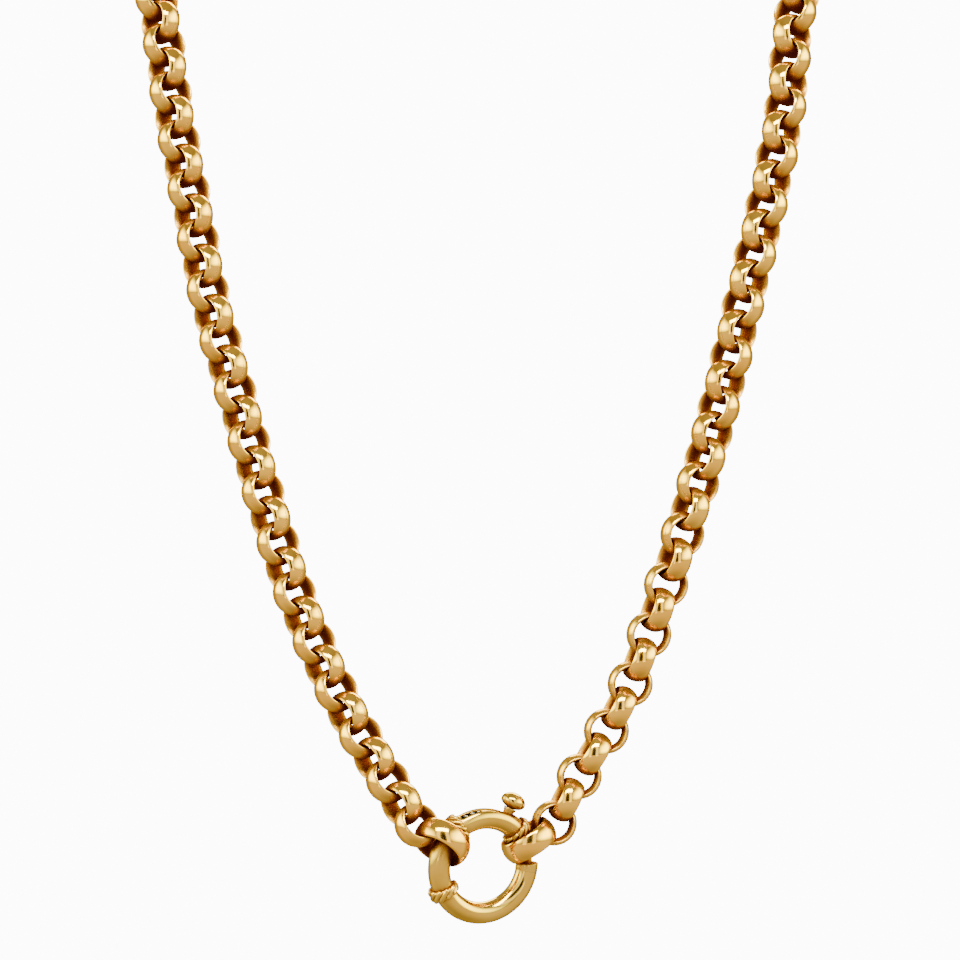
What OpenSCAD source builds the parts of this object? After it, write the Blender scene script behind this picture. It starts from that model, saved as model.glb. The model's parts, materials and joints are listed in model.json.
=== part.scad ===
// A heavy rolo (belcher) necklace, closed at the front by a large bolt ring.
// Round links of domed wire hang in a whole loop from the nape of the neck.
// The origin is where the chain bears on the nape, +Z is up and -Y is the front.

/* [Chain links] */
// Outer diameter of a chain link
link_od = 5.8; // [5.4:0.1:6.4]
// Thickness of a link's wire from its hole to its crown
link_t = 0.98; // [0.8:0.02:1.1]
// Width of a link's wire along the link's own axis
link_w = 2.66; // [2.2:0.02:2.8]
// Radius of the rounded rims of the wire
rim_r = 0.14; // [0.12:0.01:0.16]
// Play between two links that pass through each other
link_play = 0.36; // [0.3:0.01:0.5]

/* [End links] */
// Outer diameter of the larger link at each end of the chain
end_od = 7.3; // [7.2:0.05:7.4]
// Thickness of an end link's wire
end_t = 0.94; // [0.88:0.02:0.98]
// Width of an end link's wire along its own axis
end_w = 2.9; // [2.8:0.05:3]
// Play between an end link and the chain link that it holds
end_play = 0.4; // [0.3:0.01:0.44]

/* [Hang of the links] */
// Turn of the left strand's links away from facing forward
roll_left = 40; // [30:1:60]
// Turn of the links at the end of the right strand
roll_right = -10; // [-20:1:0]
// Length of the right strand, from the clasp, that has turned to roll_right
turned_len = 22; // [15:1:40]
// Length over which the right strand's links turn
turning_len = 48; // [30:1:60]

/* [Clasp ring] */
// Radius of the clasp ring, from its centre to the middle of its tube
ring_r = 6.1; // [5.9:0.02:6.4]
// Outer diameter of the ring's tube
tube_d = 2.8; // [2.7:0.05:3]
// Wall of the tube
tube_wall = 0.34; // [0.25:0.01:0.36]
// Angle of the tube's end that receives the tongue
catch_angle = 2; // [0:0.5:4]
// Angle of the mouth that the tongue comes out of
mouth_angle = 36.5; // [35:0.5:38]
// Arc taken by the thick end wall at each end of the tube
cap_arc = 9; // [7:0.5:10]
// Turn of the hanging clasp about the vertical
clasp_turn = 25; // [0:1:30]
// Lean of the clasp's top towards the front
clasp_lean = 9; // [0:1:15]

/* [Rope collars] */
// Outer diameter of a collar, over the crowns of its strands
collar_d = 4; // [3.8:0.05:4.05]
// Width of a collar along the tube
collar_w = 1.4; // [1.2:0.05:1.5]
// Strands that cross each collar
collar_strands = 12; // [8:1:14]
// Lean of the strands from the line of the tube
strand_lean = 42; // [20:1:46]
// Gap between two strands at their crowns
strand_gap = 0.06; // [0.04:0.01:0.1]
// Angle of the collar above the left end link
upper_collar = 130; // [129:0.5:131]
// Angle of the collar below the left end link
lower_collar = 211; // [205:0.5:215]

/* [Trigger] */
// Diameter of the curved tongue
tongue_d = 1.26; // [1.1:0.02:1.36]
// Running clearance round the tongue and its slide
slide_gap = 0.1; // [0.06:0.01:0.12]
// Diameter of the stem that carries the thumb knob
stem_d = 1.3; // [1:0.05:1.35]
// Angle of the stem when the clasp is shut
stem_angle = 66; // [65:0.5:68]
// Travel of the trigger, as an angle about the ring's centre
trigger_travel = 40; // [36:1:41]
// Diameter of the thumb knob
knob_d = 3.2; // [2.8:0.1:3.4]
// Thickness of the thumb knob
knob_t = 1.75; // [1.4:0.05:1.9]
// Clear height between the tube and the underside of the knob
knob_lift = 0.75; // [0.5:0.05:0.8]

/* [Spring] */
// Diameter of the spring's wire
spring_wire = 0.22; // [0.16:0.02:0.26]
// Turns of the spring
spring_turns = 15; // [10:1:17]
// Arc that the spring fills behind the trigger
spring_arc = 118; // [105:1:122]

/* [Hidden] */
fine = 72;
section_fine = 36;
rim_fine = 16;
gold = [0.86, 0.67, 0.32];

// Middle of the clasp ring
clasp_c = [0, -104, -161];

// The chain's route between the two end links: up the left strand, round the
// back of the neck and down the right strand. Its two ends are computed.
route = [
    [-8, -107.4, -156.2], [-11.9, -106.2, -150.4], [-18, -104, -140],
    [-23.5, -102.5, -127.5], [-27.5, -101.5, -115], [-31, -100, -102.5], [-34.5, -98.5, -90],
    [-37, -96, -77.5], [-39.5, -92.5, -65], [-41.5, -87.5, -52.5],
    [-44.5, -79.5, -40.5], [-47.5, -69.5, -30], [-50, -57.5, -21.5],
    [-50, -44, -14.5], [-47, -30.5, -9], [-40, -17.5, -4.5],
    [-29.5, -6.5, -2], [-15.5, 0.5, -0.5], [0, 3, 0],
    [15.5, 0.5, -0.5], [29.5, -6.5, -2], [40, -17.5, -4.5],
    [47, -30.5, -9], [50, -44, -14.5], [50, -57.5, -21.5],
    [47.5, -69.5, -30], [44, -79.5, -40.5], [40, -87.5, -52.5],
    [38.5, -92.5, -65], [36, -96, -77.5], [33, -98.5, -90],
    [30, -100, -102.5], [26.5, -101, -115], [22.5, -101, -127.5],
    [17.8, -101, -140], [11.5, -101.2, -151], [8.8, -101.3, -156]
];
// Steps of the smooth curve between two points of the route
route_steps = 12;
// Height at which the links' facing starts to turn upward, and the rise of the turn
facing_z = -60;
facing_rise = 40;

// Share of a wire's thickness, from its hole, at which its rims lie
rim_share = 0.46;
// Where each end link hangs on the clasp: its angle, its shift outward and to
// the front of the tube's middle, and its tilt about the pull of the chain
left_hook = [152.29, 0.5, -0.12, 23.4];
right_hook = [27.3, 0.72, 0.13, -9.4];
// How far the tongue's tip reaches past the catch, and the slide's ends
tip_reach = 2;
slide_lead = 2;
slide_end = 97;
// Arc left free past the trigger's travel at the end of the slot
slot_rest = 8;
spring_seat = 1.4;
stop_arc = 3;
// Overlap of cutting shapes past the faces that they cut
cut = 1;

function unit(v) = v / norm(v);
function square_to(v, t) = unit(v - (v * t) * t);
function arc_of(length, r) = length / r * 180 / PI;
function ease(x) = let (c = max(0, min(1, x))) c ^ 2 * (3 - 2 * c);

tube_r = tube_d / 2;
bore_r = tube_r - tube_wall;
tongue_r = tongue_d / 2;
cap_r = tongue_r + slide_gap;
slide_r = bore_r - slide_gap;
collar_r = collar_d / 2;
strand_share = sin(180 / collar_strands) * cos(strand_lean);
strand_c = collar_r / (1 + strand_share);
strand_r = strand_c * strand_share - strand_gap / 2;
mouth_collar = mouth_angle + arc_of(collar_w / 2, ring_r) + 1;
stem_half = arc_of(stem_d / 2 + slide_gap, ring_r + tube_r);
slot_start = stem_angle - stem_half;
slot_end = stem_angle + trigger_travel + stem_half + slot_rest;
slide_start = mouth_angle + cap_arc + slide_lead;
spring_start = slide_end + spring_seat;
stop_angle = spring_start + spring_arc + spring_seat;
catch_end = catch_angle - cap_arc;
tip_angle = catch_angle - tip_reach;

// The clasp's own directions: across, and up
clasp_x = [cos(clasp_turn), sin(clasp_turn), 0];
clasp_up = [sin(clasp_turn) * sin(clasp_lean),
            -cos(clasp_turn) * sin(clasp_lean),
            cos(clasp_lean)];
clasp_front = cross(clasp_x, clasp_up);
function hook_c(hook) =
    clasp_c + (ring_r + hook[1]) * (cos(hook[0]) * clasp_x + sin(hook[0]) * clasp_up)
    + hook[2] * clasp_front;
function clasp_tangent(angle) = cos(angle) * clasp_up - sin(angle) * clasp_x;

// A wire's section is a lens of two arcs closed by round rims
function rim_u(w) = w / 2 - rim_r;
function arc_r(depth, w) = (depth ^ 2 + rim_u(w) ^ 2 - rim_r ^ 2) / (2 * (depth - rim_r));
function hole_at(u, od, t, w) =
    let (r = arc_r(rim_share * t, w))
    od / 2 - t + r - sqrt(r ^ 2 - u ^ 2);

// Longest distance between the centres of two rings that pass through each other
reach_steps = 8;
function reach(od_a, t_a, w_a, od_b, t_b, w_b) =
    min([for (i = [0 : reach_steps], j = [0 : reach_steps])
        let (ua = i / reach_steps * rim_u(w_a), ub = j / reach_steps * rim_u(w_b))
        sqrt(hole_at(ua, od_a, t_a, w_a) ^ 2 - ub ^ 2)
        + sqrt(hole_at(ub, od_b, t_b, w_b) ^ 2 - ua ^ 2)]);
pitch = reach(link_od, link_t, link_w, link_od, link_t, link_w) - link_play;
end_pitch = reach(end_od, end_t, end_w, link_od, link_t, link_w) - end_play;

// The route as one smooth curve through its points, and its length table
left_c = hook_c(left_hook);
right_c = hook_c(right_hook);
knots = concat([left_c], route, [right_c]);
function knot(i) = knots[max(0, min(len(knots) - 1, i))];
function between(a, b, c, d, t) =
    (2 * b + (c - a) * t + (2 * a - 5 * b + 4 * c - d) * t ^ 2
     + (3 * b - a - 3 * c + d) * t ^ 3) / 2;
curve = concat(
    [for (i = [0 : len(knots) - 2], j = [0 : route_steps - 1])
        between(knot(i - 1), knot(i), knot(i + 1), knot(i + 2), j / route_steps)],
    [right_c]);
last = len(curve) - 1;
lengths = [for (i = 0, s = 0; i <= last;
                i = i + 1, s = s + (i <= last ? norm(curve[i] - curve[i - 1]) : 0)) s];
table_x = [for (i = [0 : last]) [lengths[i], curve[i].x]];
table_y = [for (i = [0 : last]) [lengths[i], curve[i].y]];
table_z = [for (i = [0 : last]) [lengths[i], curve[i].z]];
function along(s) = [lookup(s, table_x), lookup(s, table_y), lookup(s, table_z)];

// The links stand evenly on the route, an even number of them
route_len = lengths[last];
links_len = route_len - 2 * end_pitch;
link_count = 2 * ceil((links_len / pitch + 1) / 2);
step = links_len / (link_count - 1);
function link_s(i) = end_pitch + i * step;
function link_dir(i) = unit(along(link_s(i) + step / 2) - along(link_s(i) - step / 2));

// The side of the route that faces the front, and upward at the back of the neck
function facing(c, dir) =
    let (k = ease((c.z - facing_z) / facing_rise))
    square_to([0, k - 1, k], dir);
// The links' turn about the route: a quarter turn from each link to the next
function roll(i) =
    roll_left - 90 * (i % 2)
    + (roll_right - roll_left + 90)
    * ease((turned_len + turning_len - route_len + link_s(i)) / turning_len);

module framed(c, x, z) {
    y = cross(z, x);
    multmatrix([[x.x, y.x, z.x, c.x],
                [x.y, y.y, z.y, c.y],
                [x.z, y.z, z.z, c.z],
                [0, 0, 0, 1]])
        children();
}

// The section of a ring's wire, at its place beside the ring's axis
module wire_section(od, t, w) {
    ri = od / 2 - t;
    rim = [ri + rim_share * t, rim_u(w)];
    crown_r = arc_r((1 - rim_share) * t, w);
    hole_r = arc_r(rim_share * t, w);
    crown_c = [od / 2 - crown_r, 0];
    hole_c = [ri + hole_r, 0];
    outer = crown_c + crown_r * unit(rim - crown_c);
    inner = hole_c + hole_r * unit(rim - hole_c);
    past = 4 * (outer - inner);
    intersection() {
        translate(crown_c) circle(r = crown_r, $fn = section_fine);
        translate(hole_c) circle(r = hole_r, $fn = section_fine);
        polygon([inner - past, outer + past,
                 [outer.x + past.x, -outer.y - past.y], [inner.x - past.x, past.y - inner.y]]);
    }
    for (side = [-1, 1])
        translate([rim.x, side * rim.y]) circle(r = rim_r, $fn = rim_fine);
}

module ring_link(od, t, w) {
    rotate_extrude($fn = fine) wire_section(od, t, w);
}

// Every other link of the chain, from the first one given
module links(first) {
    for (i = [first : 2 : link_count - 1]) {
        c = along(link_s(i));
        dir = link_dir(i);
        front = facing(c, dir);
        framed(c, dir, cos(roll(i)) * front + sin(roll(i)) * cross(dir, front))
            ring_link(link_od, link_t, link_w);
    }
}

// An end link lies round the clasp's tube or tongue and points along the chain
function end_axis(hook, dir) =
    let (flat = square_to(clasp_tangent(hook[0]), dir))
    cos(hook[3]) * flat + sin(hook[3]) * cross(dir, flat);
module end_link(c, hook, next_c) {
    dir = unit(next_c - c);
    framed(c, dir, end_axis(hook, dir))
        ring_link(end_od, end_t, end_w);
}

module on_ring() {
    translate(clasp_c)
        rotate([90 + clasp_lean, 0, clasp_turn])
            children();
}

// A round rod or bore that follows the clasp ring between two angles
module ring_rod(r, from, to) {
    rotate([0, 0, from])
        rotate_extrude(angle = to - from, $fn = fine)
            translate([ring_r, 0])
                circle(r = r, $fn = fine);
}

// A collar of leaning strands on a band, all soldered round the tube
module rope_collar(angle) {
    half_line = collar_w / 2 - strand_r;
    rotate([0, 0, angle])
        translate([ring_r, 0, 0])
            rotate([90, 0, 0]) {
                rotate_extrude($fn = fine)
                    translate([tube_r - tube_wall / 2, -half_line])
                        square([strand_c - tube_r + tube_wall / 2, 2 * half_line]);
                for (k = [0 : collar_strands - 1])
                    rotate([0, 0, 360 * k / collar_strands])
                        translate([strand_c, 0, 0])
                            rotate([strand_lean, 0, 0])
                                strand(half_line / cos(strand_lean));
            }
}

// One strand of a collar: a short rod with round ends
module strand(half_len) {
    cylinder(r = strand_r, h = 2 * half_len, center = true, $fn = section_fine);
    for (side = [-1, 1])
        translate([0, 0, side * half_len])
            sphere(r = strand_r, $fn = section_fine);
}

// A rolo chain is made from links that are closed first, and as many again that
// are bent open, passed through two closed links each and soldered shut
module closed_links() {
    color(gold) links(0);
}

module joining_links() {
    color(gold) links(1);
}

module end_link_left() {
    color(gold) end_link(left_c, left_hook, along(link_s(0)));
}

module end_link_right() {
    color(gold) end_link(right_c, right_hook, along(link_s(link_count - 1)));
}

// The hollow tube with its thick ends, the spring's stop, the slot and the collars
module clasp_body() {
    color(gold) on_ring() {
        difference() {
            ring_rod(tube_r, mouth_angle, 360 + catch_angle);
            ring_rod(bore_r, mouth_angle + cap_arc, stop_angle);
            ring_rod(bore_r, stop_angle + stop_arc, 360 + catch_end);
            ring_rod(cap_r, mouth_angle - cut, mouth_angle + cap_arc + cut);
            ring_rod(cap_r, 360 + catch_end - cut, 360 + catch_angle + cut);
            rotate([0, 0, slot_start])
                rotate_extrude(angle = slot_end - slot_start, $fn = fine)
                    translate([ring_r, -stem_d / 2 - slide_gap])
                        square([tube_r + cut, stem_d + 2 * slide_gap]);
        }
        for (angle = [mouth_collar, upper_collar, lower_collar])
            rope_collar(angle);
    }
}

// The sprung tongue, its slide inside the tube and the thumb knob on its stem
module clasp_trigger() {
    knob_base = ring_r + tube_r + knob_lift;
    color(gold) on_ring() {
        ring_rod(tongue_r, tip_angle, slide_start + cut);
        ring_rod(slide_r, slide_start, slide_end);
        rotate([0, 0, tip_angle]) translate([ring_r, 0, 0]) sphere(r = tongue_r, $fn = fine);
        rotate([0, 0, stem_angle]) {
            translate([ring_r, 0, 0])
                rotate([0, 90, 0])
                    cylinder(d = stem_d, h = tube_r + knob_lift + knob_t / 2, $fn = fine);
            translate([knob_base, 0, 0])
                rotate([0, 90, 0])
                    rotate_extrude($fn = fine)
                        knob_section();
        }
    }
}

// Half the section of the knob: a round rim under a low dome
module knob_section() {
    edge_r = knob_t * 0.38;
    dome_r = knob_d * 0.8;
    intersection() {
        union() {
            square([knob_d / 2 - edge_r, knob_t]);
            translate([knob_d / 2 - edge_r, edge_r]) circle(r = edge_r, $fn = fine);
        }
        translate([0, knob_t - dome_r]) circle(r = dome_r, $fn = fine);
        square([knob_d, knob_t]);
    }
}

// The coil spring behind the slide, seen through the slot
module clasp_spring() {
    per_turn = 10;
    sides = 5;
    rings = spring_turns * per_turn;
    coil_r = bore_r - slide_gap - spring_wire / 2;
    points = [for (i = [0 : rings])
        let (turn = 360 * i / per_turn,
             angle = spring_start + spring_arc * i / rings,
             out = [cos(angle), sin(angle), 0],
             spoke = cos(turn) * out + [0, 0, sin(turn)],
             c = ring_r * out + coil_r * spoke,
             t = [-sin(angle), cos(angle), 0])
        each [for (k = [0 : sides - 1])
            let (a = 360 * k / sides) c + spring_wire / 2 * (cos(a) * spoke + sin(a) * t)]];
    faces = concat(
        [[for (k = [sides - 1 : -1 : 0]) k]],
        [for (i = [0 : rings - 1], k = [0 : sides - 1])
            let (a = i * sides, b = (i + 1) * sides, m = (k + 1) % sides)
            each [[a + k, a + m, b + k], [b + k, a + m, b + m]]],
        [[for (k = [0 : sides - 1]) rings * sides + k]]);
    color("silver") on_ring() polyhedron(points, faces);
}

closed_links();
joining_links();
end_link_left();
end_link_right();
clasp_body();
clasp_trigger();
clasp_spring();
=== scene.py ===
# %% [markdown]
# A rolo chain in Blender.
# The necklace is a whole loop of round links in broad domed wire. Two larger end
# links hold it to a sprung bolt ring, which hangs at the front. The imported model
# already says where every link and the clasp are, so this lesson takes their
# places from that frame, and makes each piece again with finer shapes and metal.

# %% Load the frame
import json
import math
import random

import bmesh
import bpy
import numpy as np
from mathutils import Matrix, Vector


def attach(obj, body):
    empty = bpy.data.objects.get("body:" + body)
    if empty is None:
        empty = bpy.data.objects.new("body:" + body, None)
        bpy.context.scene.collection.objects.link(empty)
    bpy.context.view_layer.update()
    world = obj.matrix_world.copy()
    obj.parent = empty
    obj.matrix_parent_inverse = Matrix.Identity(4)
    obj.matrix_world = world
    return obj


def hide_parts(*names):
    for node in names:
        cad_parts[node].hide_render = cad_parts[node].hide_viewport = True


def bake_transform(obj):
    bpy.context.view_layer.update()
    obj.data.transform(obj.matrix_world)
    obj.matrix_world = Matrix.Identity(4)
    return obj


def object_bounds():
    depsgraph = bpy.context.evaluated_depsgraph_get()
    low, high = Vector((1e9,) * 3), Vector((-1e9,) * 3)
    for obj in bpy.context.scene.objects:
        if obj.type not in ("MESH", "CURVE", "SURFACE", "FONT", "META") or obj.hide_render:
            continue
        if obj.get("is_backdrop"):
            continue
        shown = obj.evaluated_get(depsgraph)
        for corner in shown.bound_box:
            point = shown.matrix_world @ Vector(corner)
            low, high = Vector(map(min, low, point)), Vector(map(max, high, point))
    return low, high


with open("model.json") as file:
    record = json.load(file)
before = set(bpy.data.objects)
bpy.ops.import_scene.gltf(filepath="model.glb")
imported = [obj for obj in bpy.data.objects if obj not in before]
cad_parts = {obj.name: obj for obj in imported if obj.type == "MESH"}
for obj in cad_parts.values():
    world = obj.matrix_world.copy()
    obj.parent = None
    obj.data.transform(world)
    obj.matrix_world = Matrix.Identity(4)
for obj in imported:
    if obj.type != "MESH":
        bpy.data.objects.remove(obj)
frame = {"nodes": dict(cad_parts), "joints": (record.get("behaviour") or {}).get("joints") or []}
cad_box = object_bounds()

# %% [markdown]
# The clasp's own axes.
# The bolt ring hangs a little turned, its top leaning forward. Its trigger turns about the
# ring's middle, so the joint in the frame gives the ring's centre and its front.
# Across and up follow from that front and from the plumb line. A matrix then carries
# anything modelled flat, round the origin, to its place on the hanging clasp.

# %% Place of the clasp
MM = 0.001
joint = frame["joints"][0]
clasp_front = Vector(joint["axis"]).normalized()
clasp_across = Vector((0, 0, 1)).cross(clasp_front).normalized()
clasp_up = clasp_front.cross(clasp_across)
clasp_centre = Vector(joint["pos_m"])
ON_CLASP = Matrix.Translation(clasp_centre) @ Matrix(
    (clasp_across, clasp_up, clasp_front)).transposed().to_4x4()
print("clasp ring centred at", [round(v / MM, 1) for v in clasp_centre], "mm")

# %% [markdown]
# Small helpers for every piece.
# A piece is drawn in one bmesh and then becomes an object at the origin, whose
# place is all in its mesh. Arcs come from the spin operator: one vertex, spun
# about a centre, leaves a chain of edges behind it. What a spin brings together is
# then welded, and the two distances for that are in metres.

# %% Helpers
weld = 1e-6
fine_weld = 1e-7


def finish_piece(bm, name, place=None):
    """Turns a bmesh into a smooth-shaded object, with its place in its mesh."""
    if place is not None:
        bm.transform(place)
    bmesh.ops.recalc_face_normals(bm, faces=bm.faces)
    mesh = bpy.data.meshes.new(name)
    bm.to_mesh(mesh)
    bm.free()
    mesh.shade_smooth()
    piece = bpy.data.objects.new(name, mesh)
    bpy.context.scene.collection.objects.link(piece)
    print(f"{name}: {len(mesh.polygons)} faces")
    return piece


def arc(bm, start, centre, turn, steps):
    """A chain of edges from start, turned about centre in the XZ plane."""
    vert = bmesh.ops.create_vert(bm, co=start)["vert"][0]
    bmesh.ops.spin(bm, geom=[vert], cent=centre, axis=(0, 1, 0), angle=turn,
                   steps=steps, use_duplicate=False)


def lathe(bm, turn=math.tau, steps=48, start=0.0, axis=(0, 0, 1), cent=(0, 0, 0)):
    """Spins everything in the bmesh about an axis, either part of the way or right round."""
    if start:
        bmesh.ops.rotate(bm, verts=bm.verts, cent=cent, matrix=Matrix.Rotation(start, 3, axis))
    full = abs(turn - math.tau) < 1e-6
    bmesh.ops.spin(bm, geom=bm.verts[:] + bm.edges[:], cent=cent, axis=axis, angle=turn,
                   steps=steps, use_merge=full, use_duplicate=False)
    bmesh.ops.remove_doubles(bm, verts=bm.verts, dist=fine_weld)


def tilt_between(a, b):
    """The turn in the XZ plane, as spin counts it about +Y, from direction a to direction b."""
    turn = math.atan2(b.x, b.z) - math.atan2(a.x, a.z)
    return (turn + math.pi) % math.tau - math.pi


# %% [markdown]
# Where the links hang.
# Each chain node holds loose rings. A ring is widest across its hole and
# narrowest along its axis, so the spread of its surface gives its axis, and the
# middle of that surface is its centre. The frame's mesh is loose triangles, so a
# copy is merged first, and then split into islands of joined vertices.

# %% Read the rings from the frame
def islands(bm):
    """The groups of joined vertices, in the order of the mesh."""
    bm.verts.index_update()
    seen = [False] * len(bm.verts)
    for first in bm.verts:
        if seen[first.index]:
            continue
        seen[first.index] = True
        group = [first]
        for vert in group:
            for edge in vert.link_edges:
                other = edge.other_vert(vert)
                if not seen[other.index]:
                    seen[other.index] = True
                    group.append(other)
        yield group


def measure_ring(group):
    """A ring's centre, axis, outer and inner radius and half its width."""
    faces = {face.index: face for vert in group for face in vert.link_faces}.values()
    area = np.array([face.calc_area() for face in faces])
    middles = np.array([face.calc_center_median() for face in faces])
    centre = (area[:, None] * middles).sum(0) / area.sum()
    spread = (middles - centre).T @ (area[:, None] * (middles - centre))
    axis = np.linalg.eigh(spread)[1][:, 0]
    axis *= -1 if axis[1] > 0 else 1
    away = np.array([vert.co for vert in group]) - centre
    along = away @ axis
    radii = np.linalg.norm(away - along[:, None] * axis, axis=1)
    half_w = float(np.abs(along).max())
    return Vector(centre), Vector(axis), float(radii.max()), float(radii.min()), half_w


def read_rings(node):
    """All the rings of a chain node, measured."""
    bm = bmesh.new()
    bm.from_mesh(frame["nodes"][node].data)
    bmesh.ops.remove_doubles(bm, verts=bm.verts, dist=weld)
    bm.faces.index_update()
    rings = [measure_ring(group) for group in islands(bm)]
    bm.free()
    return rings


rings_in = {node: read_rings(node) for node in
            ("closed_links", "joining_links", "end_link_left", "end_link_right")}
for node, rings in rings_in.items():
    print(node, len(rings), "rings, outer radius", round(rings[0][2] / MM, 3), "mm")

# %% [markdown]
# One link.
# On the real chain the gold is drawn to a broad wire, well domed outside and mildly
# inside, bent to a ring and soldered. A torus would be too plain, so the section is
# drawn from four arcs, the crown, the hole side and two small rims, and is spun
# round the link's axis. The arcs' radii follow from the wire's thickness and width,
# as on the solid link.

# %% Section and ring of a link
rim_r = 0.14 * MM
rim_share = 0.46
rim_steps = 2


def wire_section(bm, outer, inner, half_w, steps):
    """Draws the closed outline of the wire beside the link's axis."""
    rim_z = half_w - rim_r
    rim = Vector((inner + rim_share * (outer - inner), 0, rim_z))

    def arc_radius(depth):
        return (depth ** 2 + rim_z ** 2 - rim_r ** 2) / (2 * (depth - rim_r))

    crown_r = arc_radius(outer - rim.x)
    hole_r = arc_radius(rim.x - inner)
    crown_c = Vector((outer - crown_r, 0, 0))
    hole_c = Vector((inner + hole_r, 0, 0))
    to_outer = (rim - crown_c).normalized()
    to_inner = (rim - hole_c).normalized()
    crown_start = crown_c + crown_r * to_outer
    hole_start = hole_c + hole_r * to_inner
    flip = Vector((1, 1, -1))
    rim_turn = tilt_between(to_inner, to_outer)
    arc(bm, crown_start, crown_c, tilt_between(to_outer, to_outer * flip), steps)
    arc(bm, hole_start, hole_c, tilt_between(to_inner, to_inner * flip), steps - 2)
    arc(bm, hole_start, rim, rim_turn, rim_steps)
    arc(bm, crown_start * flip, rim * flip, rim_turn, rim_steps)
    bmesh.ops.remove_doubles(bm, verts=bm.verts, dist=weld)


def ring_pattern(outer, inner, half_w, around, steps):
    """A finished ring at the origin, its axis along Z, as a mesh to copy."""
    bm = bmesh.new()
    wire_section(bm, outer, inner, half_w, steps)
    lathe(bm, steps=around)
    bmesh.ops.recalc_face_normals(bm, faces=bm.faces)
    mesh = bpy.data.meshes.new("ring_pattern")
    bm.to_mesh(mesh)
    bm.free()
    return mesh


_, _, link_outer, link_inner, link_half_w = rings_in["closed_links"][0]
print("wire of a link:", round((link_outer - link_inner) / MM, 2), "mm thick,",
      round(2 * link_half_w / MM, 2), "mm wide")

# %% [markdown]
# Every link in its place.
# A maker closes every other link first, and passes each of the rest through two of
# them before it is soldered. All are alike, so one ring is drawn as a pattern and
# copied to the centres and axes that were read. Each copy is first turned about its
# own axis by a random amount, so that no facet repeats along the chain. The two end
# links are larger, so their faces are made finer.

# %% Copy the link to every place
random.seed(7)


def place_rings(name, rings, around, steps):
    """All the rings of a node as one piece."""
    _, _, outer, inner, half_w = rings[0]
    pattern = ring_pattern(outer, inner, half_w, around, steps)
    bm = bmesh.new()
    for centre, axis, *_ in rings:
        link = pattern.copy()
        turn = Matrix.Rotation(random.uniform(0, math.tau), 4, "Z")
        to_axis = axis.to_track_quat("Z", "Y").to_matrix().to_4x4()
        link.transform(Matrix.Translation(centre) @ to_axis @ turn)
        bm.from_mesh(link)
        bpy.data.meshes.remove(link)
    bpy.data.meshes.remove(pattern)
    return finish_piece(bm, name)


link_pieces = {}
for node in ("closed_links", "joining_links"):
    link_pieces[node] = place_rings(node + "_domed", rings_in[node], around=32, steps=6)
for node in ("end_link_left", "end_link_right"):
    link_pieces[node] = place_rings(node + "_domed", rings_in[node], around=64, steps=12)
for node, piece in link_pieces.items():
    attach(piece, "necklace")
    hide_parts(node)

# %% [markdown]
# The tube of the bolt ring.
# The real tube is rolled from sheet, bent to a ring, slotted for the trigger and
# closed at its ends by thick sleeves that guide the tongue. Here a circle is spun
# along the ring, planes cut the slot's edges into it, the faces of the slot are
# deleted, and solidify then gives the whole shell its wall, with clean rims. The
# faces of the inside get a second finish, a near black painted shade for the hollow.

# %% Sizes of the clasp
ring_r = 6.1 * MM
tube_r = 1.4 * MM
tube_wall = 0.34 * MM
slide_gap = 0.1 * MM
stem_r = 0.65 * MM
deg = math.pi / 180
catch_angle = 2 * deg
mouth_angle = 36.5 * deg
stem_angle = 66 * deg
travel = joint["range_deg"][1] * deg
slot_ease = 0.15 * MM
slot_past = 8 * deg
slot_side = stem_r + slide_gap + slot_ease
slot_half = slot_side / (ring_r + tube_r)
slot_start = stem_angle - slot_half
slot_end = stem_angle + travel + slot_half + slot_past
tube_turn = math.tau + catch_angle - mouth_angle
print("bolt ring", round(2 * (ring_r + tube_r) / MM, 1), "mm across, mouth",
      round((mouth_angle - catch_angle) / deg, 1), "degrees wide")


# %% Tube with its slot
def off_middle(co):
    """A point's distance from the line along the middle of the tube."""
    return math.hypot(math.hypot(co.x, co.y) - ring_r, co.z)


def tube_shell():
    """The bent tube with its wall, its slot and a second finish, a near black painted shade, for its
    inside.
    """
    bm = bmesh.new()
    upright = Matrix.Rotation(math.pi / 2, 4, "X")
    bmesh.ops.create_circle(bm, segments=36, radius=tube_r,
                            matrix=Matrix.Translation((ring_r, 0, 0)) @ upright)
    lathe(bm, turn=tube_turn, steps=132, start=mouth_angle)
    for side in (-1, 1):
        bmesh.ops.bisect_plane(bm, geom=bm.verts[:] + bm.edges[:] + bm.faces[:],
                               plane_co=(0, 0, side * slot_side), plane_no=(0, 0, 1), dist=fine_weld)
    for angle in (slot_start, slot_end):
        bmesh.ops.bisect_plane(bm, geom=bm.verts[:] + bm.edges[:] + bm.faces[:], plane_co=(0, 0, 0),
                               plane_no=(-math.sin(angle), math.cos(angle), 0), dist=fine_weld)
    in_slot = []
    for face in bm.faces:
        middle = face.calc_center_median()
        angle = math.atan2(middle.y, middle.x)
        if (slot_start < angle < slot_end and abs(middle.z) < slot_side
                and math.hypot(middle.x, middle.y) > ring_r):
            in_slot.append(face)
    bmesh.ops.delete(bm, geom=in_slot, context="FACES")
    bmesh.ops.remove_doubles(bm, verts=bm.verts, dist=weld)
    bmesh.ops.recalc_face_normals(bm, faces=bm.faces)
    bmesh.ops.solidify(bm, geom=bm.faces[:], thickness=tube_wall)
    # Faces on the inside take the second material, a near black painted shade.
    inside_r = tube_r - 0.9 * tube_wall
    for face in bm.faces:
        if off_middle(face.calc_center_median()) < inside_r:
            face.material_index = 1
    return bm


clasp_tube = finish_piece(tube_shell(), "clasp_tube", ON_CLASP)

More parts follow.
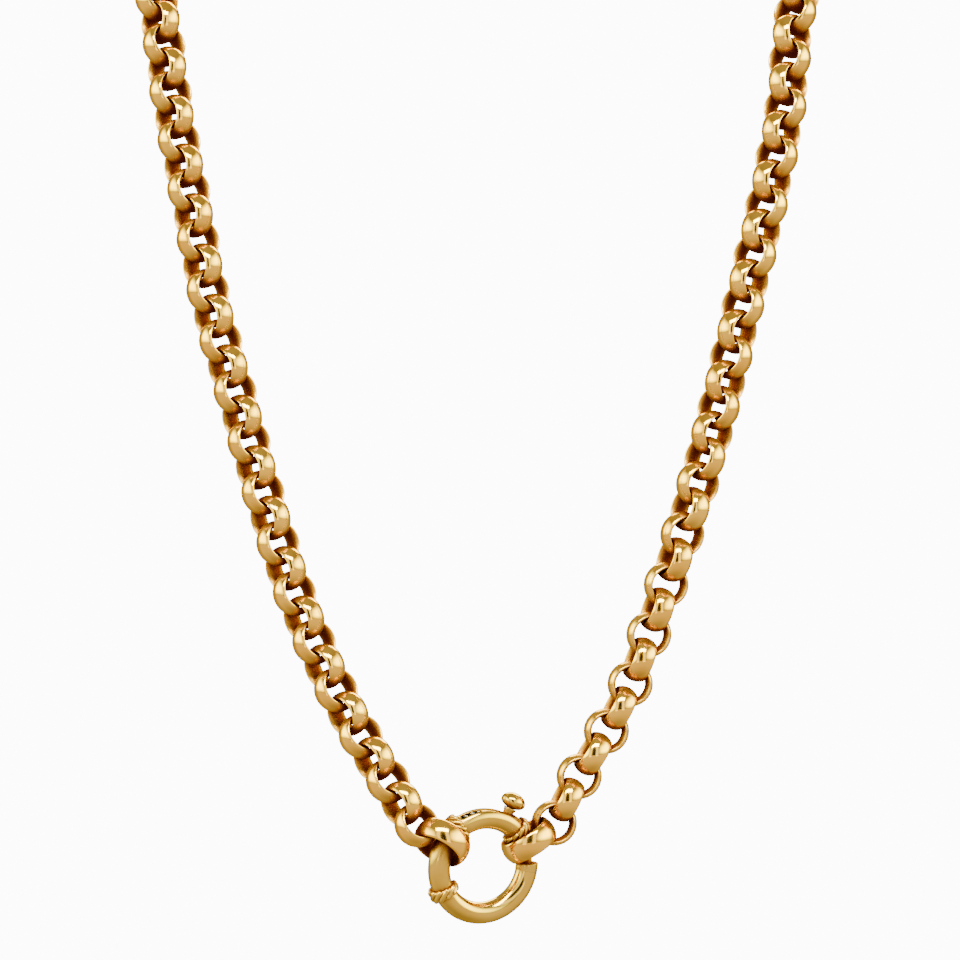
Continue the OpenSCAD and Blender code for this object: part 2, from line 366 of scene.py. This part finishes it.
# %% [markdown]
# The thick ends of the tube.
# A short sleeve closes each end of the tube and leaves only a hole for the
# tongue. It stands a hair proud, with a soft outer edge that catches the light,
# and a fine seam shows where it meets the tube. It is a lathe shape along the
# ring: its outline is spun about the tube's middle, then bent round the ring.

# %% Shapes that lie along the ring
def bend_to_ring(bm, at_angle):
    """Bends what stands along Y at the origin round the ring, Y becoming arc length."""
    for vert in bm.verts:
        x, y, z = vert.co
        angle = at_angle + y / ring_r
        vert.co = ((ring_r + x) * math.cos(angle), (ring_r + x) * math.sin(angle), z)


def lathe_along(outline, segments, edge_bevel=0.0):
    """Spins an outline of (distance from the middle, place along) right round the Y axis."""
    bm = bmesh.new()
    verts = [bmesh.ops.create_vert(bm, co=(r, y, 0))["vert"][0] for r, y in outline]
    for a, b in zip(verts, verts[1:]):
        bm.edges.new((a, b))
    if edge_bevel:
        bmesh.ops.bevel(bm, geom=verts[1:-1], offset=edge_bevel, segments=3, affect="VERTICES",
                        profile=0.5, material=-1)
    lathe(bm, steps=segments, axis=(0, 1, 0))
    return bm


# %% End sleeves
tongue_r = 0.63 * MM
cap_arc = 9 * deg


def end_sleeve(angle, inward):
    """One thick end. Inward is 1 or -1, the way along the ring that leads into the tube."""
    hole = tongue_r + slide_gap
    sleeve_r = tube_r + 0.02 * MM
    before_end = 0.01 * MM
    length = 0.95 * MM
    depth = ring_r * cap_arc
    seam_r = tube_r - 0.06 * MM
    seam_w = 0.05 * MM
    outline = [(hole, inward * depth), (hole, -inward * before_end), (sleeve_r, -inward * before_end),
               (sleeve_r, inward * length), (seam_r, inward * (length + seam_w)),
               (seam_r, inward * (length + 2 * seam_w))]
    bm = lathe_along(outline, segments=48, edge_bevel=0.04 * MM)
    bend_to_ring(bm, angle)
    return bm


catch_sleeve = finish_piece(end_sleeve(catch_angle, -1), "catch_sleeve", ON_CLASP)
mouth_sleeve = finish_piece(end_sleeve(mouth_angle, 1), "mouth_sleeve", ON_CLASP)

# %% [markdown]
# The rope collars.
# Three rings of twisted wire are soldered round the tube, and each shows eleven
# strands that lean across it. One strand is a short rod with round ends: a half
# outline spun about its length. It is laid aslant on the tube and copied round it,
# over a plain band that closes the gaps between the strands. The lean sets how thick
# a strand has to be for its neighbours to touch.

# %% Strand of a rope collar
collar_r = 2 * MM
collar_w = 1.4 * MM
strands = 11
strand_lean = 56 * deg
strand_overlap = 1.2


def strand(radius, half_len):
    """A rod with round ends, along Y at the origin."""
    steps = 5
    cap = [(radius * math.sin(k / steps * math.pi / 2),
            half_len + radius * math.cos(k / steps * math.pi / 2)) for k in range(steps + 1)]
    rod = [(radius, half_len * k / 4) for k in range(-3, 4)]
    return lathe_along([(r, -y) for r, y in cap] + rod + cap[::-1], segments=16)


strand_share = strand_overlap * math.sin(math.pi / strands) * math.cos(strand_lean)
strand_circle_r = collar_r / (1 + strand_share)
strand_r = strand_circle_r * strand_share
half_line = collar_w / 2 - strand_r
print("strands", round(2 * strand_r / MM, 2), "mm thick")


# %% Rope collars
def collar_band():
    """The plain band under the strands, from the tube's wall up between them."""
    foot_r = tube_r - 0.1 * MM
    band_r = strand_circle_r + 0.45 * strand_r
    half_w = half_line + 0.6 * strand_r
    outline = [(foot_r, -half_w), (band_r, -half_w), (band_r, half_w), (foot_r, half_w)]
    return lathe_along(outline, segments=48, edge_bevel=0.2 * MM)


def rope_collar(angle):
    """A band with the strands laid round it, bent to its place on the ring."""
    pattern = bpy.data.meshes.new("strand_pattern")
    rod = strand(strand_r, half_line / math.cos(strand_lean))
    rod.to_mesh(pattern)
    rod.free()
    bm = collar_band()
    for k in range(strands):
        laid = set(bm.verts)
        bm.from_mesh(pattern)
        for vert in bm.verts:
            if vert not in laid:
                side, along, out = vert.co
                arc_len = side * math.cos(strand_lean) - along * math.sin(strand_lean)
                around = k * math.tau / strands + arc_len / strand_circle_r
                out += strand_circle_r
                place = along * math.cos(strand_lean) + side * math.sin(strand_lean)
                vert.co = (out * math.cos(around), place, out * math.sin(around))
    bpy.data.meshes.remove(pattern)
    bend_to_ring(bm, angle)
    return bm


mouth_collar_gap = 1 * deg
collar_angles = {"collar_upper": 130 * deg, "collar_lower": 211 * deg,
                 "collar_mouth": mouth_angle + collar_w / 2 / ring_r + mouth_collar_gap}
collars = [finish_piece(rope_collar(angle), name, ON_CLASP) for name, angle in collar_angles.items()]
for piece in (clasp_tube, catch_sleeve, mouth_sleeve, *collars):
    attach(piece, "necklace")
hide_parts("clasp_body")

# %% [markdown]
# The trigger.
# A curved tongue closes the ring, a thicker slide behind it runs inside the tube,
# and a stem through the slot carries a domed knob for the thumb nail. The tongue
# and slide are one lathe shape bent round the ring, with a rounded tip. The stem
# and knob are a second lathe shape: the stem is straight in the slot and flares a
# little under the knob, as solder fills that corner.

# %% Tongue and slide
slide_play = 2 * deg
tip_angle = catch_angle - slide_play
slide_start = mouth_angle + cap_arc + slide_play
slide_end = 97 * deg
slide_r = tube_r - tube_wall - slide_gap


def tongue_and_slide():
    """The tongue from its round tip to the slide, and the slide to its flat back end."""
    length = ring_r * (slide_start - tip_angle)
    end = ring_r * (slide_end - tip_angle)
    tip_steps = 6
    steps = 30
    quarter = [k / tip_steps * math.pi / 2 for k in range(tip_steps + 1)]
    outline = [(tongue_r * math.sin(turn), -tongue_r * math.cos(turn)) for turn in quarter]
    outline += [(tongue_r, length * k / steps) for k in range(1, steps + 1)]
    outline += [(slide_r, length + (end - length) * k / steps) for k in range(steps + 1)]
    outline.append((0, end))
    bm = lathe_along(outline, segments=32)
    bend_to_ring(bm, tip_angle)
    return bm


tongue = finish_piece(tongue_and_slide(), "trigger_tongue", ON_CLASP)

# %% Stem and knob
knob_lift = 0.45 * MM
knob_r = 1.6 * MM
knob_t = 2.05 * MM
knob_waist = 0.42
stem_flare = 0.2 * MM


def stem_and_knob():
    """The stem from the middle of the tube outwards, and the domed knob on it."""
    tube_top = ring_r + tube_r
    knob_low = tube_top + knob_lift
    outline = [(stem_r, ring_r), (stem_r, tube_top - 0.1 * MM),
               (stem_r + stem_flare / 2, tube_top + 0.2 * MM),
               (stem_r + stem_flare, knob_low + 0.04 * MM)]
    steps = 14
    middle = knob_low + knob_waist * knob_t
    for k in range(steps + 1):
        tilt = (-80 + 170 * k / steps) * deg
        tall = knob_waist * knob_t if tilt < 0 else (1 - knob_waist) * knob_t
        outline.append((max(0, knob_r * math.cos(tilt)), middle + tall * math.sin(tilt)))
    outline[-1] = (0, knob_low + knob_t)
    bm = lathe_along(outline, segments=40)
    bmesh.ops.rotate(bm, verts=bm.verts, matrix=Matrix.Rotation(stem_angle - math.pi / 2, 3, "Z"))
    return bm


knob = finish_piece(stem_and_knob(), "trigger_knob", ON_CLASP)
for piece in (tongue, knob):
    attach(piece, "trigger")
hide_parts("clasp_trigger")

# %% [markdown]
# The spring.
# A coil of thin wire sits in the tube behind the slide and shows through the
# slot. A small circle is spun with a step along the axis at each turn, which
# leaves a straight helix, and that is bent round the ring. Its one end is pushed
# by the slide and the other rests on a stop. The piece is attached to neither
# body, and its place is baked into its mesh.

# %% Coil spring
spring_wire = 0.22 * MM
spring_turns = 15
spring_gap = 1.4 * deg
spring_arc = 118 * deg
spring_start = slide_end + spring_gap
spring_end = spring_start + spring_arc


def coil_spring():
    """The coil, from the back of the slide to its stop."""
    coil_r = slide_r - spring_wire / 2
    per_turn = 20
    length = ring_r * (spring_end - spring_start)
    bm = bmesh.new()
    bmesh.ops.create_circle(bm, segments=8, radius=spring_wire / 2, cap_ends=True,
                            matrix=Matrix.Translation((coil_r, 0, 0)))
    steps = spring_turns * per_turn
    bmesh.ops.spin(bm, geom=bm.verts[:] + bm.edges[:] + bm.faces[:], cent=(0, 0, 0), axis=(0, 1, 0),
                   dvec=(0, length / steps, 0), angle=spring_turns * math.tau, steps=steps,
                   use_duplicate=False)
    bmesh.ops.remove_doubles(bm, verts=bm.verts, dist=fine_weld)
    bend_to_ring(bm, spring_start)
    return bm


spring = finish_piece(coil_spring(), "coil_spring", ON_CLASP)
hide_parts("clasp_spring")
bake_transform(spring)

# %% [markdown]
# Polished gold.
# Worn yellow gold is a mirror with a history: fine scratches from skin and cloth,
# a slightly uneven polish that bends its reflections, and nooks between the links
# where no polish reaches, which are rougher. An image texture could hold all that,
# but noises on Object coordinates stay sharp at any size. Colour and roughness vary
# slowly, two noises bend the surface, one broad as from hand polishing and one fine
# as from wear, and ambient occlusion finds the nooks. There the colour is also
# painted a dark red brown, as painted shade between the links.

# %% Material tools
def new_material(name):
    """A material with its tree, its shader and the object's own coordinates."""
    material = bpy.data.materials.new(name)
    material.use_nodes = True
    tree = material.node_tree
    shader = tree.nodes["Principled BSDF"]
    coords = tree.nodes.new("ShaderNodeTexCoord").outputs["Object"]
    return material, tree, shader, coords


def noise(tree, coords, per_m, detail, roughness=0.5, stretch=(1, 1, 1), turn=(0, 0, 0)):
    """A noise pattern with that many bumps a metre, stretched and turned."""
    mapping = tree.nodes.new("ShaderNodeMapping")
    mapping.inputs["Scale"].default_value = stretch
    mapping.inputs["Rotation"].default_value = turn
    tree.links.new(coords, mapping.inputs["Vector"])
    node = tree.nodes.new("ShaderNodeTexNoise")
    node.inputs["Scale"].default_value = per_m
    node.inputs["Detail"].default_value = detail
    node.inputs["Roughness"].default_value = roughness
    tree.links.new(mapping.outputs["Vector"], node.inputs["Vector"])
    return node.outputs["Fac"]


def spread(tree, value, low, high, out_low, out_high):
    """Maps a value's range low to high onto out_low to out_high."""
    node = tree.nodes.new("ShaderNodeMapRange")
    ends = {"From Min": low, "From Max": high, "To Min": out_low, "To Max": out_high}
    for name, number in ends.items():
        node.inputs[name].default_value = number
    tree.links.new(value, node.inputs["Value"])
    return node.outputs["Result"]


def bump(tree, height, distance, before=None):
    """Bends the surface by a pattern that stands for that distance, on top of the one before."""
    node = tree.nodes.new("ShaderNodeBump")
    node.inputs["Strength"].default_value = 1.0
    node.inputs["Distance"].default_value = distance
    tree.links.new(height, node.inputs["Height"])
    if before is not None:
        tree.links.new(before, node.inputs["Normal"])
    return node.outputs["Normal"]


# %% Gold
# The dark red brown of the painted shade laid into the nooks between the links.
painted_shade_red = (0.16, 0.018, 0.001, 1)
edge_tint = (0.80, 0.64, 0.46, 1)
nook_reach = 4 * MM
nook_roughness = 0.7
scratch_depth = 0.0035 * MM


def gold(name, light, warm, wave_depth, smooth, worn):
    """Gold from a light to a warm tone, as rough as smooth to worn, rougher in its nooks, where its
    colour is painted dark red brown as painted shade.
    """
    material, tree, shader, coords = new_material(name)
    shader.inputs["Metallic"].default_value = 1.0
    shader.inputs["Specular Tint"].default_value = edge_tint
    tone = tree.nodes.new("ShaderNodeMix")
    tone.data_type = "RGBA"
    tone.inputs["A"].default_value = light
    tone.inputs["B"].default_value = warm
    blotches = noise(tree, coords, per_m=220, detail=3)
    tree.links.new(spread(tree, blotches, 0.35, 0.68, 0, 1), tone.inputs["Factor"])
    nook = tree.nodes.new("ShaderNodeAmbientOcclusion")
    nook.samples = 16
    nook.inputs["Distance"].default_value = nook_reach
    # Painted shade: where ambient occlusion finds a nook, the base colour turns to the dark red brown.
    painted_shade_mix = tree.nodes.new("ShaderNodeMix")
    painted_shade_mix.data_type = "RGBA"
    painted_shade_mix.inputs["A"].default_value = painted_shade_red
    tree.links.new(tone.outputs["Result"], painted_shade_mix.inputs["B"])
    open_air = spread(tree, nook.outputs["AO"], 0.45, 0.95, 0, 1)
    tree.links.new(open_air, painted_shade_mix.inputs["Factor"])
    tree.links.new(painted_shade_mix.outputs["Result"], shader.inputs["Base Color"])
    dull = tree.nodes.new("ShaderNodeMix")
    dull.inputs["A"].default_value = nook_roughness
    wear = noise(tree, coords, per_m=900, detail=4, roughness=0.6)
    tree.links.new(spread(tree, wear, 0.3, 0.7, smooth, worn), dull.inputs["B"])
    tree.links.new(open_air, dull.inputs["Factor"])
    tree.links.new(dull.outputs["Result"], shader.inputs["Roughness"])
    waves = bump(tree, noise(tree, coords, per_m=420, detail=1), wave_depth)
    scratches = noise(tree, coords, per_m=2600, detail=3, roughness=0.7, stretch=(1, 9, 1),
                      turn=(0.5, 0.3, 0.7))
    tree.links.new(bump(tree, scratches, scratch_depth, waves), shader.inputs["Normal"])
    return material


chain_gold = gold("chain_gold_polish", light=(0.98, 0.585, 0.07, 1), warm=(0.94, 0.50, 0.045, 1),
                  wave_depth=0.03 * MM, smooth=0.05, worn=0.12)
clasp_gold = gold("clasp_gold_polish", light=(0.78, 0.50, 0.07, 1), warm=(0.68, 0.40, 0.04, 1),
                  wave_depth=0.04 * MM, smooth=0.07, worn=0.15)
for piece in link_pieces.values():
    piece.data.materials.append(chain_gold)
for piece in (clasp_tube, catch_sleeve, mouth_sleeve, *collars, tongue, knob):
    piece.data.materials.append(clasp_gold)
print("gold on", len(link_pieces), "pieces of chain, and on the clasp with", len(collars), "collars")

# %% [markdown]
# The painted dark inside and the spring wire.
# Inside the tube the gold is painted near black and matt, a painted shade for the
# hollow of the tube, and the spring is plain drawn steel. Both are seen only through
# the slot, so one shader each with an uneven roughness is enough. The tube carries
# the painted shade as its second material, on the faces that were marked as its inside.

# %% Dark inside and steel
def plain_finish(name, colour, metallic, per_m, detail, smooth, worn):
    """A matt finish in one colour, with a roughness that varies in spots."""
    material, tree, shader, coords = new_material(name)
    shader.inputs["Metallic"].default_value = metallic
    shader.inputs["Base Color"].default_value = colour
    roughness = spread(tree, noise(tree, coords, per_m, detail), 0.3, 0.7, smooth, worn)
    tree.links.new(roughness, shader.inputs["Roughness"])
    return material


# The near black inside of the tube is painted shade for its hollow.
clasp_tube.data.materials.append(plain_finish("painted_shade_inside", (0.012, 0.006, 0.003, 1), metallic=0.6,
                                              per_m=1500, detail=3, smooth=0.6, worn=0.8))
spring.data.materials.append(plain_finish("drawn_steel", (0.56, 0.55, 0.52, 1), metallic=1.0,
                                          per_m=3000, detail=2, smooth=0.25, worn=0.4))
print("materials:", [m.name for m in bpy.data.materials if m.users])

# %% [markdown]
# The floor.
# The necklace is worn, so it hangs clear of everything. A plain pale floor lies well
# below it, a filled circle with nothing on it. It is left out of the reflections,
# because the tent further down already gives the gold its lower half. A soft sun
# from straight above lights it as pale as the background. The sun is left out of
# the reflections too, so it puts no spot on the gold.

# %% Floor
floor_drop = 300 * MM
floor_r = 3000 * MM
floor_z = cad_box[0].z - floor_drop
floor_bm = bmesh.new()
bmesh.ops.create_circle(floor_bm, cap_ends=True, segments=96, radius=floor_r,
                        matrix=Matrix.Translation((0, 0, floor_z)))
floor = finish_piece(floor_bm, "studio_floor")
floor.data.materials.append(plain_finish("pale_floor", (0.82, 0.81, 0.79, 1), metallic=0.0,
                                         per_m=30, detail=3, smooth=0.6, worn=0.7))
floor.visible_glossy = False
floor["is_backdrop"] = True

sun_data = bpy.data.lights.new("floor_sun", "SUN")
sun_data.energy = 28
sun_data.angle = 30 * deg
floor_sun = bpy.data.objects.new("floor_sun", sun_data)
floor_sun.location = (0, 0, 0.5)
floor_sun.visible_glossy = False
bpy.context.scene.collection.objects.link(floor_sun)
print("floor", round(floor_drop / MM), "mm below the clasp")

# %% [markdown]
# The camera.
# The real piece was seen from straight in front through a long lens, so near and far
# links look the same size. One pixel covers about an eighth of a millimetre at the
# strands, and that, the picture's width and the lens give the distance.

# %% Camera
photo_px = 960
px_m = 0.126 * MM
strand_y = -103 * MM
view_centre = Vector((-0.38 * MM, strand_y, -112.5 * MM))
lens_mm = 300
sensor_mm = 36
camera_away = photo_px * px_m * lens_mm / sensor_mm
camera_data = bpy.data.cameras.new("photo_camera")
camera_data.lens = lens_mm
camera_data.sensor_width = sensor_mm
camera_data.clip_start = 0.01
camera_data.clip_end = 20
camera = bpy.data.objects.new("photo_camera", camera_data)
camera.location = view_centre - Vector((0, camera_away, 0))
camera.rotation_euler = (math.pi / 2, 0, 0)
bpy.context.scene.collection.objects.link(camera)
bpy.context.scene.camera = camera
print("camera", round(camera_away, 3), "m in front of the strands")

# %% [markdown]
# Lamps and card.
# Gold shows only what it reflects, so the light is read from its domes. Each has a
# white arch round a dark streak a little above its middle. A wide lamp high in front
# makes the arch, two faint ones beside the view make its legs, and a dark card where
# the camera stood makes the streak. A lamp behind gives the back of the necklace its
# highlights. All of them are hidden from direct view.

# %% Lamps
def soft_lamp(name, place, size, watts):
    """A white area lamp that faces the middle of the view and is hidden from direct view."""
    data = bpy.data.lights.new(name, "AREA")
    data.shape = "RECTANGLE"
    data.size, data.size_y = size
    data.energy = watts
    lamp = bpy.data.objects.new(name, data)
    lamp.location = place
    lamp.rotation_euler = (view_centre - Vector(place)).to_track_quat("-Z", "Y").to_euler()
    lamp.visible_camera = False
    bpy.context.scene.collection.objects.link(lamp)
    print(f"{name}: {watts} W over {size[0]} by {size[1]} m")


soft_lamp("lamp_front_top", (0.0, -0.66, 0.57), size=(0.8, 0.26), watts=18)
for name, side in (("lamp_leg_left", -1), ("lamp_leg_right", 1)):
    soft_lamp(name, (side * 0.19, -0.6, 0.0), size=(0.15, 0.5), watts=0.5)
soft_lamp("lamp_behind", (0.1, 0.62, 0.42), size=(0.7, 0.3), watts=9)

# %% Card
card_w = 0.10
card_h = 0.36
card_bm = bmesh.new()
bmesh.ops.create_grid(card_bm, x_segments=1, y_segments=1, size=0.5,
                      matrix=Matrix.Translation((0.01, -0.62, 0.0)) @ Matrix.Rotation(math.pi / 2, 4, "X")
                      @ Matrix.Diagonal((card_w, card_h, 1, 1)))
card = finish_piece(card_bm, "camera_card")
card.data.materials.append(plain_finish("black_card", (0.004, 0.004, 0.004, 1), metallic=0.0,
                                         per_m=30, detail=3, smooth=0.9, worn=1.0))
card.visible_camera = False
card.visible_shadow = False
card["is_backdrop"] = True

# %% [markdown]
# The tent.
# The rest of each dome reflects a tent: tan below the horizon, cream at the sides,
# dim at the crest and behind. Lamps for all that would show their edges in polished
# gold, so the world is built from the direction of the reflected ray instead. Its
# height picks a colour from a ramp, and its sideways and rearward parts mix in the
# others. The cream at the sides is a strong one, as of windows behind a blind. Where
# the camera looks past the necklace it sees plain white.

# %% Colours of the tent by height
world = bpy.data.worlds.new("tent")
bpy.context.scene.world = world
world.use_nodes = True
sky = world.node_tree
sky.nodes.clear()
direction = sky.nodes.new("ShaderNodeTexCoord").outputs["Generated"]
parts = sky.nodes.new("ShaderNodeSeparateXYZ")
sky.links.new(direction, parts.inputs["Vector"])
ramp = sky.nodes.new("ShaderNodeValToRGB")
tans_below = ((0.0, (0.28, 0.24, 0.20)), (0.10, (0.44, 0.38, 0.31)),
              (0.24, (0.58, 0.50, 0.41)), (0.45, (0.65, 0.56, 0.46)))
dims_above = ((0.475, (0.09, 0.08, 0.07)), (0.66, (0.10, 0.09, 0.08)),
              (0.85, (0.19, 0.18, 0.16)), (1.0, (0.28, 0.26, 0.23)))
tent = tans_below + dims_above
while len(ramp.color_ramp.elements) < len(tent):
    ramp.color_ramp.elements.new(0.5)
for stop, (place, colour) in zip(ramp.color_ramp.elements, tent):
    stop.position = place
    stop.color = (*colour, 1)
sky.links.new(spread(sky, parts.outputs["Z"], -1, 1, 0, 1), ramp.inputs["Fac"])
print("tent:", len(tent), "colours from below to above")


# %% Sides and back of the tent
side_cream = (4.6, 4.9, 1.8, 1)
back_dim = (0.30, 0.26, 0.19, 1)


def mix_sky(factor, a, b):
    """The colour a, turning to the colour b where the factor is one."""
    mix = sky.nodes.new("ShaderNodeMix")
    mix.data_type = "RGBA"
    mix.inputs["B"].default_value = b
    sky.links.new(factor, mix.inputs["Factor"])
    sky.links.new(a, mix.inputs["A"])
    return mix.outputs["Result"]


def times(a, b):
    """The product of two values."""
    product = sky.nodes.new("ShaderNodeMath")
    product.operation = "MULTIPLY"
    sky.links.new(a, product.inputs[0])
    sky.links.new(b, product.inputs[1])
    return product.outputs["Value"]


aside = sky.nodes.new("ShaderNodeMath")
aside.operation = "ABSOLUTE"
sky.links.new(parts.outputs["X"], aside.inputs[0])
above_horizon = spread(sky, parts.outputs["Z"], -0.08, 0.2, 0, 1)
below_crest = spread(sky, parts.outputs["Z"], 0.5, 0.75, 1, 0)
at_side = times(spread(sky, aside.outputs["Value"], 0.45, 0.9, 0, 1), times(above_horizon, below_crest))
behind = spread(sky, parts.outputs["Y"], 0.15, 0.5, 0, 1)
with_sides = mix_sky(at_side, ramp.outputs["Color"], side_cream)
around_all = mix_sky(behind, with_sides, back_dim)
print("the sides are", round(sum(side_cream[:3]) / sum(tent[3][1]), 1), "times as bright as the tan")

# %% What the gold sees, and what the camera sees
reflected_strength = 2.0
seen_strength = 12.0
reflected = sky.nodes.new("ShaderNodeBackground")
sky.links.new(around_all, reflected.inputs["Color"])
reflected.inputs["Strength"].default_value = reflected_strength
seen = sky.nodes.new("ShaderNodeBackground")
seen.inputs["Color"].default_value = (1, 1, 1, 1)
seen.inputs["Strength"].default_value = seen_strength
pick = sky.nodes.new("ShaderNodeMixShader")
sky.links.new(sky.nodes.new("ShaderNodeLightPath").outputs["Is Camera Ray"], pick.inputs["Fac"])
sky.links.new(reflected.outputs["Background"], pick.inputs[1])
sky.links.new(seen.outputs["Background"], pick.inputs[2])
sky.links.new(pick.outputs["Shader"], sky.nodes.new("ShaderNodeOutputWorld").inputs["Surface"])
print("world:", len(sky.nodes), "nodes")

# %% [markdown]
# The sizes, and the end.
# A finer piece has to keep the size of the solid that it stands for. The pieces could
# be measured one by one, but one box round the whole necklace already shows when
# something has grown or slipped past it. So the box of the frame and the box of the
# finished scene are both taken, and how far their corners moved is printed here.

# %% Sizes, and the end
scene_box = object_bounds()
grown = [[round((b - a) / MM, 3) for a, b in zip(*corners)] for corners in zip(cad_box, scene_box)]
print("lowest and highest corner moved by", grown, "mm")
